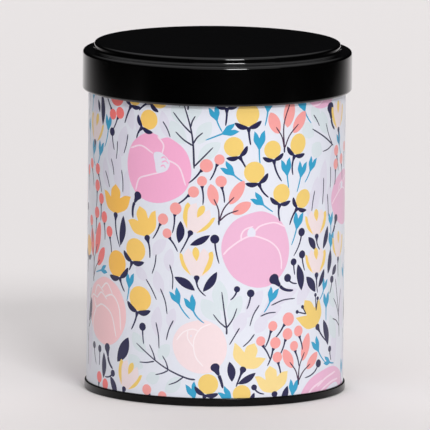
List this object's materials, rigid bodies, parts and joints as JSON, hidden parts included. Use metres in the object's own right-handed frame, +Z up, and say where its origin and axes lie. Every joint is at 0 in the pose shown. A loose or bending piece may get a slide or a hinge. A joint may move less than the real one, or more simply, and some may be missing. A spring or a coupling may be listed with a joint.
{
  "type": "tea caddy",
  "caption": "Round double-lid tea caddy: seamed tinplate can with a printed floral paper wrap, a plug lid with a knob and a black lacquered outer lid.",
  "frame": {"origin": "centre of the footprint, on the surface that the caddy stands on", "axes": "+Z up along the can's axis, towards the outer lid; the paper's overlap is at the back, on +Y"},
  "size_m": [0.085, 0.085, 0.11],
  "materials": {
    "lid_lacquer": "gloss",
    "base_lacquer": "gloss",
    "printed_paper": "satin",
    "tinplate": "satin",
    "seam_compound": "matte",
    "knob_plastic": "gloss",
    "rivet_metal": "satin"
  },
  "bodies": {
    "caddy": {"base_plate": "base_lacquer", "base_seal": "seam_compound", "body_shell": "tinplate", "paper_wrap": "printed_paper"},
    "inner_lid": {"inner_lid": "tinplate", "lid_knob": "knob_plastic", "knob_rivet": "rivet_metal", "knob_washer": "tinplate"},
    "outer_lid": {"outer_lid": "lid_lacquer"}
  },
  "joints": [
    {"name": "inner_lid_lift", "type": "slide", "parent": "caddy", "child": "inner_lid", "axis": [0, 0, 1], "range_m": [0, 0.03]},
    {"name": "outer_lid_lift", "type": "slide", "parent": "inner_lid", "child": "outer_lid", "axis": [0, 0, 1], "range_m": [0, 0.04]}
  ]
}
